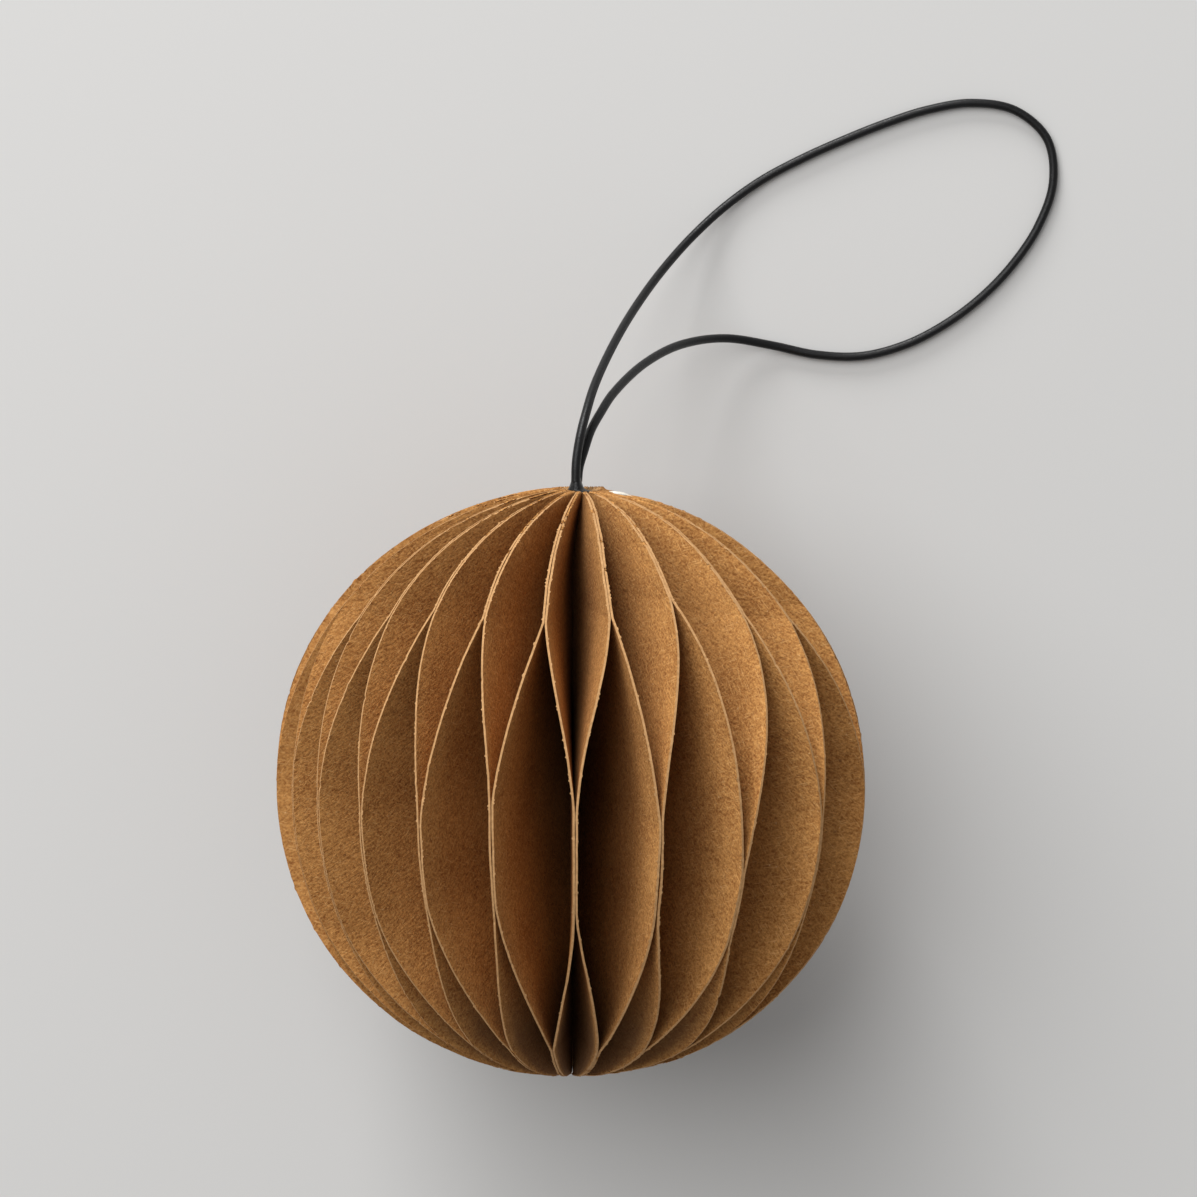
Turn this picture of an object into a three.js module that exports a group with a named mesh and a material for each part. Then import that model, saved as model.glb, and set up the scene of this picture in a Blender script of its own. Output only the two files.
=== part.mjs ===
// Honeycomb paper ball ornament. Half-round card leaves stand round an open core. Each leaf is
// glued to one neighbour along stripes near both poles, and to its other neighbour along a stripe
// near the equator, so the spread stack opens into lens-shaped cells. A cord loop hangs it up.
// Millimetres. The ball lies on its side on z = 0, as it comes to rest, with its axis along +Y.
import * as THREE from "three";

// Card leaves
const BALL_RADIUS = 45;
const CARD_THICKNESS = 0.3;
const GLUE_FILM = 0.03;
const CORNER_RADIUS = 1;

// The core leans to the right towards the top pole, from this height above the equator
const AXIS_LEAN = 1.7;
const LEAN_START = 30;

// Ridges: pairs of leaves glued near the equator. Angles round the axis are in degrees from the side
// that faces up, and head and foot are the latitudes where the glue stripe ends. Left and right are
// the slopes of each leaf's swing above the stripe, first as it leaves the ridge and then as it
// reaches its joint. The leaves were spread by hand, closer on the left.
const RIDGES_ON_TOP = [
  { angle: -66, head: 7, foot: -27, left: [0.3, 0.8], right: [0.4, 1.4] },
  { angle: -54.8, head: 1, foot: -26, left: [0.5, 0.9], right: [0.4, 1.4] },
  { angle: -42, head: -1, foot: -20, left: [0.5, 0.9], right: [0.4, 1.4] },
  { angle: -28.3, head: -2, foot: -17.5, left: [0.2, 0.7], right: [0.5, 1.4] },
  { angle: -14, head: 2.5, foot: -17, left: [0.3, 0.9], right: [0.4, 1.3] },
  { angle: 1.5, head: 1, foot: -18, left: [0.3, 0.9], right: [0.2, 1.1] },
  { angle: 17.4, head: -1, foot: -17.5, left: [0.7, 1.4], right: [0.2, 0.6] },
  { angle: 35, head: -11, foot: -24, left: [0.8, 2.6], right: [0.5, 0.4] },
  { angle: 55.6, head: -2.5, foot: -19, left: [0.5, 1.2], right: [0.6, 1.2] },
  { angle: 80, head: 0, foot: -18, left: [0.5, 1.2], right: [0.5, 1.2] },
];
const USUAL_RIDGE = { head: 0, foot: -18, left: [0.4, 1.2], right: [0.4, 1.2] };
const HIDDEN_GAPS_RIGHT = 7;
const HIDDEN_GAPS_LEFT = 8;
const RESTING_GAP = 13.5;

// Joints: where the leaves of neighbouring ridges are glued, above foot and below head. The first
// one lies right of the first ridge, and the hidden ones lie halfway between their ridges.
const JOINTS_ON_TOP = [
  { angle: -58.7, foot: 36.8, head: -54 },
  { angle: -47, foot: 37.5, head: -55.5 },
  { angle: -34, foot: 39.4, head: -55.3 },
  { angle: -20, foot: 38, head: -55.6 },
  { angle: -5.3, foot: 37.5, head: -55.4 },
  { angle: 10.3, foot: 38.4, head: -56.2 },
  { angle: 26.9, foot: 42.3, head: -56.7 },
  { angle: 46.5, foot: 38.3, head: -58.9 },
  { angle: 64.3, foot: 36.7, head: -57 },
];
const USUAL_JOINT = { foot: 38.5, head: -56 };

// Slopes of the swing below the middle stripes
const LOWER_LEFT = [0, 1.5];
const LOWER_RIGHT = [0.4, 0.9];

// Outline facets. The ball touches the table on a short flat each side of the equator.
const RESTING_FLAT = 4;
const FACETS_AT_POLE = 4;
const FACETS_IN_SWING = 6;
const FACETS_IN_RIDGE = 2;
const FACETS_AT_CORNER = 2;

// White bead of glue where the fan was closed, on the pair of leaves nearest to its angle
const BEAD_ANGLE = 88;
const BEAD_LATITUDE = 81;
const BEAD_LENGTH = 3.2;
const BEAD_WIDTH = 1.1;
const BEAD_HEIGHT = 0.7;
const BEAD_SEGMENTS = 10;
const BEAD_RINGS = 6;

// Cord loop and the hardened knot that holds both of its ends in the mouth of the core
const CORD_DIAMETER = 1.4;
const CORD_SIDES = 8;
const CORD_STEPS = 80;
const KNOT_CLEARANCE = 0.3;
const KNOT_ASIDE = 1.1;
const KNOT_DEPTH = 6;
const KNOT_SHOULDER_DEPTH = 1.2;
const KNOT_MOUTH_RADIUS = 1.8;
const KNOT_RISE = 0.7;
const KNOT_FLATNESS = 0.7;
const KNOT_SIDES = 16;

// Route of the loop from the knot and back to it: out along the axis, down, and over the table.
// The points are counted from the axis, from the equator and from the table.
const CORD_ROUTE = [
  [1.0, 45.9, 45.6], [1.1, 48.9, 45.4], [1.7, 52.8, 44.0], [2.7, 56.7, 41.0], [3.9, 60.4, 36.5],
  [6.9, 66.6, 27.0], [10.5, 72.4, 17.5], [14.8, 78.1, 9.5], [19.7, 83.5, 4.0], [25.1, 88.4, 1.4],
  [31.0, 92.6, 0.8], [37.4, 96.0, 0.8], [44.1, 99.0, 0.8], [50.9, 101.7, 0.8], [57.8, 103.9, 0.8],
  [64.9, 105.0, 0.8], [72.0, 103.8, 0.8], [77.2, 99.2, 0.8], [78.2, 92.2, 0.8], [75.9, 85.2, 0.8],
  [71.9, 79.1, 0.8], [66.9, 73.8, 0.8], [61.1, 69.4, 0.8], [54.6, 66.0, 0.8], [47.4, 64.1, 0.8],
  [40.0, 64.3, 0.8], [32.8, 65.8, 1.2], [25.5, 67.0, 4.0], [18.3, 66.3, 11.0], [11.8, 63.4, 22.0],
  [6.7, 58.9, 33.0], [4.9, 56.3, 37.2], [3.3, 53.5, 40.4], [2.3, 50.6, 42.4], [1.5, 47.9, 43.5],
  [1.3, 45.9, 43.9],
];

const kraftCard = new THREE.MeshStandardMaterial({ color: 0xa9713c, roughness: 0.92, metalness: 0 });
const blackCord = new THREE.MeshStandardMaterial({ color: 0x1d1f21, roughness: 0.55, metalness: 0 });
const whiteGlue = new THREE.MeshStandardMaterial({ color: 0xe6e4dc, roughness: 0.35, metalness: 0 });

const { clamp, degToRad, lerp } = THREE.MathUtils;
const FULL_TURN = 360;

// All ridges, front ones as seen and the rest evenly spread, so that the gap between two ridges
// is centred on the table
function fanRidges() {
  const first = RIDGES_ON_TOP[0].angle;
  const last = RIDGES_ON_TOP[RIDGES_ON_TOP.length - 1].angle;
  const restingRight = (FULL_TURN - RESTING_GAP) / 2;
  const restingLeft = (FULL_TURN + RESTING_GAP) / 2;
  const ridges = [...RIDGES_ON_TOP];
  for (let i = 1; i <= HIDDEN_GAPS_RIGHT; i++) {
    ridges.push({ ...USUAL_RIDGE, angle: lerp(last, restingRight, i / HIDDEN_GAPS_RIGHT) });
  }
  for (let i = 0; i < HIDDEN_GAPS_LEFT; i++) {
    ridges.push({ ...USUAL_RIDGE, angle: lerp(restingLeft, first + FULL_TURN, i / HIDDEN_GAPS_LEFT) });
  }
  return ridges;
}

const RIDGES = fanRidges();
const RIDGE_COUNT = RIDGES.length;
const LEAF_COUNT = 2 * RIDGE_COUNT;
const LEAF_PITCH = CARD_THICKNESS + GLUE_FILM;
const CORE_RADIUS = LEAF_PITCH / (2 * Math.sin(Math.PI / LEAF_COUNT));

// The joint right of each ridge
function fanJoint(i) {
  if (i < JOINTS_ON_TOP.length) {
    return JOINTS_ON_TOP[i];
  }
  const next = i + 1 < RIDGE_COUNT ? RIDGES[i + 1].angle : RIDGES[0].angle + FULL_TURN;
  return { ...USUAL_JOINT, angle: (RIDGES[i].angle + next) / 2 };
}

const JOINTS = RIDGES.map((ridge, i) => fanJoint(i));

// The leaf's round corners: centre of the fillet between the spine and the round outline
const CORNER_X = CORE_RADIUS + CORNER_RADIUS;
const CORNER_Z = Math.sqrt((BALL_RADIUS - CORNER_RADIUS) ** 2 - CORNER_X ** 2);
const CORNER_LATITUDE = THREE.MathUtils.radToDeg(Math.atan2(CORNER_Z, CORNER_X));

// Hermite curve from 0 to 1, with a slope at each end
function swingCurve(t, [leaving, reaching]) {
  return t * t * (3 - 2 * t) + leaving * t * (1 - t) ** 2 - reaching * t * t * (1 - t);
}

// Swing of a leaf at a latitude: 0 on its ridge plane, 1 on the plane of its joint
function swingAt(latitude, { ridge, joint, upper, lower }) {
  const above = clamp((latitude - ridge.head) / (joint.foot - ridge.head), 0, 1);
  const below = clamp((ridge.foot - latitude) / (ridge.foot - joint.head), 0, 1);
  return swingCurve(above, upper) + swingCurve(below, lower);
}

function outlineRow(latitude, stripes) {
  const angle = degToRad(latitude);
  return {
    z: BALL_RADIUS * Math.sin(angle),
    inner: CORE_RADIUS,
    outer: BALL_RADIUS * Math.cos(angle),
    swing: swingAt(latitude, stripes),
  };
}

// Rows of the round corner above the end of the straight spine, with both ends on curves
function cornerRows(pole) {
  const rows = [];
  const topAngle = Math.asin((BALL_RADIUS * Math.sin(degToRad(CORNER_LATITUDE)) - CORNER_Z) / CORNER_RADIUS);
  for (let i = 0; i <= FACETS_AT_CORNER; i++) {
    const angle = (topAngle * i) / FACETS_AT_CORNER;
    const z = CORNER_Z + CORNER_RADIUS * Math.sin(angle);
    rows.push({
      z: pole * z,
      inner: CORNER_X - CORNER_RADIUS * Math.cos(angle),
      outer: Math.sqrt(BALL_RADIUS ** 2 - z ** 2),
      swing: 1,
    });
  }
  return rows;
}

// Straight rulings of one leaf, from its bottom corner to its top corner
function leafRows(stripes) {
  const { ridge, joint } = stripes;
  const spineEnd = THREE.MathUtils.radToDeg(Math.asin(CORNER_Z / BALL_RADIUS));
  const zones = [
    [-spineEnd, joint.head, FACETS_AT_POLE],
    [joint.head, ridge.foot, FACETS_IN_SWING],
    [ridge.foot, -RESTING_FLAT, FACETS_IN_RIDGE],
    [-RESTING_FLAT, RESTING_FLAT, 1],
    [RESTING_FLAT, joint.foot, FACETS_IN_SWING],
    [joint.foot, spineEnd, FACETS_AT_POLE],
  ];
  const rows = cornerRows(-1).reverse();
  for (const [from, to, facets] of zones) {
    for (let i = 1; i <= facets; i++) {
      rows.push(outlineRow(lerp(from, to, i / facets), stripes));
    }
  }
  return [...rows, ...cornerRows(1).slice(1)];
}

// How far the core leans at a height above the equator
function leanAt(z) {
  const climbed = clamp((z - LEAN_START) / (BALL_RADIUS - LEAN_START), 0, 1);
  return AXIS_LEAN * climbed ** 2;
}

// Plan directions at an angle round the axis: outwards, and across in the sense of the fan
const outwards = (angle) => new THREE.Vector2(Math.sin(degToRad(angle)), -Math.cos(degToRad(angle)));
const across = (angle) => new THREE.Vector2(Math.cos(degToRad(angle)), Math.sin(degToRad(angle)));

// One leaf: a thin sheet lofted over straight rulings from the spine to the rim. side is -1 for
// the leaf left of its ridge and 1 for the right one.
function leafGeometry(stripes, side, spineAngle) {
  const spine = outwards(spineAngle).multiplyScalar(CORE_RADIUS);
  const rows = leafRows(stripes);
  const positions = [];
  for (const { z, inner, outer, swing } of rows) {
    const angle = lerp(stripes.ridge.angle, stripes.joint.angle, swing);
    const offset = side * (LEAF_PITCH / 2) * (1 - 2 * swing);
    const rim = outwards(angle).multiplyScalar(outer).addScaledVector(across(angle), offset);
    const along = rim.clone().sub(spine).normalize();
    const half = new THREE.Vector2(-along.y, along.x).multiplyScalar(CARD_THICKNESS / 2);
    const start = spine.clone().addScaledVector(along, inner - CORE_RADIUS);
    for (const [point, face] of [[start, -1], [rim, -1], [rim, 1], [start, 1]]) {
      positions.push(point.x + face * half.x + leanAt(z), point.y + face * half.y, z);
    }
  }
  const corners = 4;
  const index = [];
  for (let row = 0; row < rows.length - 1; row++) {
    const low = row * corners;
    const high = low + corners;
    // Both faces are split along the same diagonal, so that glued neighbours stay clear
    for (const [a, b, turned] of [[0, 1, false], [1, 2, false], [3, 2, true], [3, 0, false]]) {
      const triangles = [low + a, low + b, high + b, low + a, high + b, high + a];
      index.push(...(turned ? triangles.reverse() : triangles));
    }
  }
  const top = (rows.length - 1) * corners;
  index.push(0, 2, 1, 0, 3, 2, top, top + 1, top + 2, top, top + 2, top + 3);
  const geometry = new THREE.BufferGeometry();
  geometry.setAttribute("position", new THREE.Float32BufferAttribute(positions, 3));
  geometry.setIndex(index);
  geometry.computeVertexNormals();
  return geometry;
}

// Spines are packed evenly round the core, turned to follow the fan as closely as they can
const SPINE_PITCH = FULL_TURN / LEAF_COUNT;
const evenRidge = (i) => SPINE_PITCH * (2 * i + 0.5);
const FAN_TURN = RIDGES.reduce((sum, ridge, i) => sum + ridge.angle - evenRidge(i), 0) / RIDGE_COUNT;

function jointLeftOf(i) {
  const before = JOINTS[(i + RIDGE_COUNT - 1) % RIDGE_COUNT];
  return i > 0 ? before : { ...before, angle: before.angle - FULL_TURN };
}

function leaf(i, side) {
  const order = 2 * i + (side > 0 ? 1 : 0);
  const ridge = RIDGES[i];
  const stripes = side > 0
    ? { ridge, joint: JOINTS[i], upper: ridge.right, lower: LOWER_RIGHT }
    : { ridge, joint: jointLeftOf(i), upper: ridge.left, lower: LOWER_LEFT };
  const geometry = leafGeometry(stripes, side, FAN_TURN + SPINE_PITCH * order);
  const mesh = new THREE.Mesh(geometry, kraftCard);
  mesh.name = `leaf_${String(order + 1).padStart(2, "0")}`;
  return mesh;
}

// Angle of the joint that lies nearest to an angle round the axis
function nearestJoint(angle) {
  const away = (joint) => Math.abs(joint.angle - angle);
  return JOINTS.reduce((best, joint) => (away(joint) < away(best) ? joint : best)).angle;
}

// The bead sits on the rims of the pair of leaves where the fan was closed
function glueBead() {
  const geometry = new THREE.SphereGeometry(1 / 2, BEAD_SEGMENTS, BEAD_RINGS);
  geometry.scale(BEAD_WIDTH, BEAD_LENGTH, BEAD_HEIGHT);
  const mesh = new THREE.Mesh(geometry, whiteGlue);
  mesh.name = "seam_glue_bead";
  mesh.position.z = BALL_RADIUS + KNOT_CLEARANCE + BEAD_HEIGHT / 2;
  const latitude = new THREE.Group();
  latitude.rotation.x = degToRad(90 - BEAD_LATITUDE);
  latitude.add(mesh);
  const longitude = new THREE.Group();
  longitude.rotation.z = degToRad(nearestJoint(BEAD_ANGLE));
  longitude.position.x = leanAt(BALL_RADIUS * Math.sin(degToRad(BEAD_LATITUDE)));
  longitude.add(latitude);
  return longitude;
}

// The knot lies in the mouth of the core and stands a little proud of the pole. It is flat from
// side to side, because the two ends of the cord lie one above the other.
function cordKnot() {
  const pole = BALL_RADIUS * Math.sin(degToRad(CORNER_LATITUDE));
  const body = CORE_RADIUS - KNOT_CLEARANCE;
  const profile = [
    [0, pole - KNOT_DEPTH],
    [body, pole - KNOT_DEPTH],
    [body, pole - KNOT_SHOULDER_DEPTH],
    [KNOT_MOUTH_RADIUS, pole],
    [KNOT_MOUTH_RADIUS, pole + KNOT_RISE],
    [0, pole + KNOT_RISE],
  ].map(([x, y]) => new THREE.Vector2(x, y));
  const geometry = new THREE.LatheGeometry(profile, KNOT_SIDES);
  geometry.rotateX(Math.PI / 2);
  geometry.scale(KNOT_FLATNESS, 1, 1);
  const mesh = new THREE.Mesh(geometry, blackCord);
  mesh.name = "cord_knot";
  mesh.position.x = KNOT_ASIDE;
  return mesh;
}

function hangingCord() {
  const route = new THREE.CatmullRomCurve3(CORD_ROUTE.map((point) => new THREE.Vector3(...point)));
  const section = new THREE.Shape().absarc(0, 0, CORD_DIAMETER / 2, 0, 2 * Math.PI);
  const geometry = new THREE.ExtrudeGeometry(section, {
    steps: CORD_STEPS,
    curveSegments: CORD_SIDES / 2,
    extrudePath: route,
  });
  const mesh = new THREE.Mesh(geometry, blackCord);
  mesh.name = "hanging_cord";
  return mesh;
}

// The ball is built upright, then laid on its side with its front facing up
const ball = new THREE.Group();
ball.rotation.x = -Math.PI / 2;
for (let i = 0; i < RIDGE_COUNT; i++) {
  ball.add(leaf(i, -1), leaf(i, 1));
}
ball.add(glueBead());

// It rests on the table, with the origin under its middle
const measurePrecisely = true;
const box = new THREE.Box3().setFromObject(ball, measurePrecisely);
const middle = box.getCenter(new THREE.Vector3());
ball.position.set(-middle.x, -middle.y, -box.min.z);
ball.add(cordKnot());

const cord = hangingCord();
cord.position.set(ball.position.x, ball.position.y, 0);

const ornament = new THREE.Group();
ornament.add(ball, cord);

export default ornament;
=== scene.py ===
# %% [markdown]
# # A paper ball ornament
# The real ball is a stack of half-round kraft card leaves. Each leaf is glued to one neighbour near
# both poles and to its other neighbour round the middle, so the spread stack opens into
# lens-shaped cells. A loop of thin waxed cord comes out of the core at the top pole.
# The frame already holds every solid at its real size. This lesson swaps each one for a finished
# piece of the same form, and then lights and frames the ball as it lies on its side.

# %% Load the fixed frame
import math

import bpy
import numpy as np
from mathutils import Matrix, Vector


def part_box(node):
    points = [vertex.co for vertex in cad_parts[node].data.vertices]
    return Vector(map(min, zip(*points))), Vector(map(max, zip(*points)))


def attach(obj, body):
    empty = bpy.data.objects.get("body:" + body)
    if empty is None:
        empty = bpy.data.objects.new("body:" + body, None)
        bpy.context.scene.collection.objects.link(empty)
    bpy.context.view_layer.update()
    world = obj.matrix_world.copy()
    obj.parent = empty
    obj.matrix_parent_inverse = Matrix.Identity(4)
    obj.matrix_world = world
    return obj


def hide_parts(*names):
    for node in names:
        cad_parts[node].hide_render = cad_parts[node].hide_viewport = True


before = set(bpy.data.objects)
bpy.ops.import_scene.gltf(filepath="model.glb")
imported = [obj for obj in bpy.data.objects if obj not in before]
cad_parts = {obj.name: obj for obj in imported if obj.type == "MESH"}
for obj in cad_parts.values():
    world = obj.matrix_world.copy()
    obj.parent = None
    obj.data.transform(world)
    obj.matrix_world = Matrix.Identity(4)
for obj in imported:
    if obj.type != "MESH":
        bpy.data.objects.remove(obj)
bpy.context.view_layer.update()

MILLIMETRE = 0.001
bpy.ops.object.select_all(action="DESELECT")


def in_mm(lengths):
    """A length, a point or a box in millimetres, for printing."""
    return np.round(np.array(lengths) / MILLIMETRE, 2).tolist()


# %% [markdown]
# ## Where the ball is
# Everything below is measured from the middle of the ball. The knot in the core is a turned shape
# that stands a known way aside, so its box gives the axis, and the leaves give the middle along it.
# Angles round the axis are counted from the side that faces up, and latitudes from the equator.

# %% Find the middle of the ball
BALL_RADIUS = 0.045
KNOT_ASIDE = 0.0011
LEAF_NODES = sorted(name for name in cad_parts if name.startswith("leaf_"))


def middle_of(low, high):
    return (low + high) / 2


knot_low, knot_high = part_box("cord_knot")
leaf_boxes = [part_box(name) for name in LEAF_NODES]
south = min(low.y for low, high in leaf_boxes)
north = max(high.y for low, high in leaf_boxes)
knot_middle = middle_of(knot_low, knot_high)
BALL_CENTRE = Vector((knot_middle.x - KNOT_ASIDE, middle_of(south, north), knot_middle.z))
print("ball centre", in_mm(BALL_CENTRE), "mm, with", len(LEAF_NODES), "leaves")

# %% [markdown]
# ## Camera
# The picture was taken from almost straight above, with the lens turned a little towards the pole
# that the cord leaves. A camera could be aimed by eye, but here it is worked out: its distance and
# tilt are real sizes, and the ball's middle has to land on a known pixel of a square picture.

# %% Place the camera
PICTURE_PIXELS = 1197
BALL_PIXEL = (569.3, 780.6)
BALL_RADIUS_PIXELS = 293.4
CAMERA_DISTANCE = 14 * BALL_RADIUS
CAMERA_TILT = math.radians(4.6)
CAMERA_NEAR = 0.01


def place_camera():
    pixel = BALL_RADIUS / BALL_RADIUS_PIXELS
    backward = Vector((0, math.sin(CAMERA_TILT), math.cos(CAMERA_TILT)))
    right = Vector((1, 0, 0))
    up = backward.cross(right)
    aside = (PICTURE_PIXELS / 2 - BALL_PIXEL[0]) * pixel
    above = (BALL_PIXEL[1] - PICTURE_PIXELS / 2) * pixel
    place = BALL_CENTRE + CAMERA_DISTANCE * backward + aside * right + above * up
    bpy.ops.object.camera_add()
    camera = bpy.context.object
    camera.name = "photo_camera"
    turn = Matrix((right, up, backward)).transposed()
    camera.matrix_world = Matrix.Translation(place) @ turn.to_4x4()
    focal_pixels = CAMERA_DISTANCE / pixel
    camera.data.angle = 2 * math.atan(PICTURE_PIXELS / 2 / focal_pixels)
    camera.data.clip_start = CAMERA_NEAR
    bpy.context.scene.camera = camera
    return camera


camera = place_camera()
print("camera at", in_mm(camera.location), "mm for a ball of", BALL_RADIUS_PIXELS, "pixels")

# %% [markdown]
# ## Shader helpers
# All finishes here are procedural. These few helpers add a node, join two sockets and build the
# patterns that come back in several finishes: soft noise, stretched fibres and thresholds.

# %% Write the shader helpers
def new_finish(name):
    finish = bpy.data.materials.new(name)
    finish.use_nodes = True
    nodes = finish.node_tree.nodes
    return finish, nodes, finish.node_tree.links, nodes["Principled BSDF"]


def add_node(nodes, kind, **settings):
    node = nodes.new(kind)
    for name, value in settings.items():
        if name in node.inputs:
            node.inputs[name].default_value = value
        else:
            setattr(node, name, value)
    return node


def noise_of(nodes, links, vector, scale, detail=2.0, roughness=0.5):
    noise = add_node(nodes, "ShaderNodeTexNoise", Scale=scale, Detail=detail, Roughness=roughness)
    links.new(vector, noise.inputs["Vector"])
    return noise.outputs["Fac"]


def stretched(nodes, links, vector, scale):
    mapping = add_node(nodes, "ShaderNodeMapping", Scale=scale)
    links.new(vector, mapping.inputs["Vector"])
    return mapping.outputs["Vector"]


def turned(nodes, links, vector, degrees):
    mapping = add_node(nodes, "ShaderNodeMapping", Rotation=(0, 0, math.radians(degrees)))
    links.new(vector, mapping.inputs["Vector"])
    return mapping.outputs["Vector"]


def ranged(nodes, links, value, low, high, to_low=0, to_high=1):
    """A value spread from one range over another, and held at its ends."""
    remap = add_node(nodes, "ShaderNodeMapRange")
    remap.inputs["From Min"].default_value = low
    remap.inputs["From Max"].default_value = high
    remap.inputs["To Min"].default_value = to_low
    remap.inputs["To Max"].default_value = to_high
    links.new(value, remap.inputs["Value"])
    return remap.outputs["Result"]


def maths(nodes, links, operation, first, second):
    node = add_node(nodes, "ShaderNodeMath", operation=operation)
    for socket, value in zip(node.inputs, (first, second)):
        if isinstance(value, (int, float)):
            socket.default_value = value
        else:
            links.new(value, socket)
    return node.outputs["Value"]


def summed(nodes, links, *weighted):
    """Sum of several values, each with its weight."""
    total = 0
    for value, weight in weighted:
        total = maths(nodes, links, "ADD", maths(nodes, links, "MULTIPLY", value, weight), total)
    return total


def blended(nodes, links, share, first, second):
    mix = add_node(nodes, "ShaderNodeMix", data_type="RGBA")
    links.new(share, mix.inputs["Factor"])
    # The node repeats its socket names for each data type, and the last pair is the colours
    colours = [socket for socket in mix.inputs if socket.type == "RGBA"]
    for socket, colour in zip(colours, (first, second)):
        if isinstance(colour, tuple):
            socket.default_value = (*colour, 1)
        else:
            links.new(colour, socket)
    return next(socket for socket in mix.outputs if socket.type == "RGBA")


def raised(nodes, links, height, strength, distance):
    bump = add_node(nodes, "ShaderNodeBump", Strength=strength, Distance=distance)
    links.new(height, bump.inputs["Height"])
    return bump.outputs["Normal"]


print("shader helpers ready")

# %% [markdown]
# ## Floor and light
# The ball lies on a plain pale table. A low window beyond the top of the picture lights the upper
# faces and rims, a soft lamp stands high beyond its upper left corner, and an even sky fills in the
# rest, so the shadow falls wide and soft to the lower right and the cells go dark inside. Together
# they light the table so that a colour renders about as it is written.

# %% Lay the floor and light it
FLOOR_COLOUR = (0.645, 0.64, 0.63)
FLOOR_SIZE = 6.0
SKY_STRENGTH = 0.33
LAMP_DISTANCE = 1.5


def lay_floor():
    bpy.ops.mesh.primitive_plane_add(size=FLOOR_SIZE)
    floor = bpy.context.object
    floor.name = "table"
    finish, nodes, links, shader = new_finish("pale_table")
    shader.inputs["Base Color"].default_value = (*FLOOR_COLOUR, 1)
    shader.inputs["Roughness"].default_value = 0.9
    shader.inputs["Specular IOR Level"].default_value = 0.1
    floor.data.materials.append(finish)
    return floor


def hang_lamp(name, heading, rise, size, power):
    heading = math.radians(heading)
    rise = math.radians(rise)
    flat = Vector((math.cos(heading), math.sin(heading), 0)) * math.cos(rise)
    towards = flat + Vector((0, 0, math.sin(rise)))
    bpy.ops.object.light_add(type="AREA", location=BALL_CENTRE + LAMP_DISTANCE * towards)
    lamp = bpy.context.object
    lamp.name = name
    lamp.data.shape = "DISK"
    lamp.data.size = size
    lamp.data.energy = power
    lamp.rotation_euler = (-towards).to_track_quat("-Z", "Y").to_euler()
    return lamp


def light_sky():
    world = bpy.data.worlds.new("even_sky")
    world.use_nodes = True
    world.node_tree.nodes["Background"].inputs["Color"].default_value = (1, 1, 1, 1)
    world.node_tree.nodes["Background"].inputs["Strength"].default_value = SKY_STRENGTH
    bpy.context.scene.world = world


floor = lay_floor()
window = hang_lamp("low_window", heading=105, rise=15, size=0.6, power=16.6)
lamp = hang_lamp("high_lamp", heading=134, rise=53, size=1.4, power=15.8)
light_sky()
bpy.context.scene.view_settings.view_transform = "Standard"
print(floor.name, "is lit by", window.name, "and", lamp.name, "and a sky of", SKY_STRENGTH)

# %% [markdown]
# ## Black waxed cord
# The cord is a thin round cotton cord, dyed black and waxed. It looks smooth from a step away, with
# a soft broken shine. The finish is nearly black, with fine lint and a bump that breaks the gloss.

# %% Mix the waxed cord finish
CORD_BLACK = (0.005, 0.005, 0.0055)
CORD_LINT = (0.09, 0.09, 0.092)


def waxed_cord_finish():
    finish, nodes, links, shader = new_finish("waxed_black_cord")
    place = add_node(nodes, "ShaderNodeTexCoord").outputs["Object"]
    weave = noise_of(nodes, links, place, scale=3200, detail=3, roughness=0.6)
    fuzz = noise_of(nodes, links, place, scale=2400, detail=4, roughness=0.7)
    lint = ranged(nodes, links, fuzz, low=0.66, high=0.76)
    links.new(blended(nodes, links, lint, CORD_BLACK, CORD_LINT), shader.inputs["Base Color"])
    dullness = ranged(nodes, links, weave, low=0.3, high=0.7, to_low=0.28, to_high=0.5)
    links.new(dullness, shader.inputs["Roughness"])
    links.new(raised(nodes, links, weave, strength=0.5, distance=0.0001), shader.inputs["Normal"])
    shader.inputs["Specular IOR Level"].default_value = 0.3
    return finish


CORD_FINISH = waxed_cord_finish()
print("mixed", CORD_FINISH.name)

# %% [markdown]
# ## Hanging cord
# One length of cord makes the loop: out of the core, down to the table, round, and back into the
# core. A bevelled curve keeps it one smooth line. Its handles are set from the points either side,
# so that it runs through every point of the route without kinks.

# %% Lay the cord loop
CORD_DIAMETER = 0.0014
# Millimetres aside from the axis, along it from the equator, and up from the table
CORD_ROUTE = [
    (1.0, 45.9, 45.6), (1.1, 48.9, 45.4), (1.7, 52.8, 44.0), (2.7, 56.7, 41.0), (3.9, 60.4, 36.5),
    (6.9, 66.6, 27.0), (10.5, 72.4, 17.5), (14.8, 78.1, 9.5), (19.7, 83.5, 4.0), (25.1, 88.4, 1.4),
    (31.0, 92.6, 0.8), (37.4, 96.0, 0.8), (44.1, 99.0, 0.8), (50.9, 101.7, 0.8), (57.8, 103.9, 0.8),
    (64.9, 105.0, 0.8), (72.0, 103.8, 0.8), (77.2, 99.2, 0.8), (78.2, 92.2, 0.8), (75.9, 85.2, 0.8),
    (71.9, 79.1, 0.8), (66.9, 73.8, 0.8), (61.1, 69.4, 0.8), (54.6, 66.0, 0.8), (47.4, 64.1, 0.8),
    (40.0, 64.3, 0.8), (32.8, 65.8, 1.2), (25.5, 67.0, 4.0), (18.3, 66.3, 11.0), (11.8, 63.4, 22.0),
    (6.7, 58.9, 33.0), (4.9, 56.3, 37.2), (3.3, 53.5, 40.4), (2.3, 50.6, 42.4), (1.5, 47.9, 43.5),
    (1.3, 45.9, 43.9),
]


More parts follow.
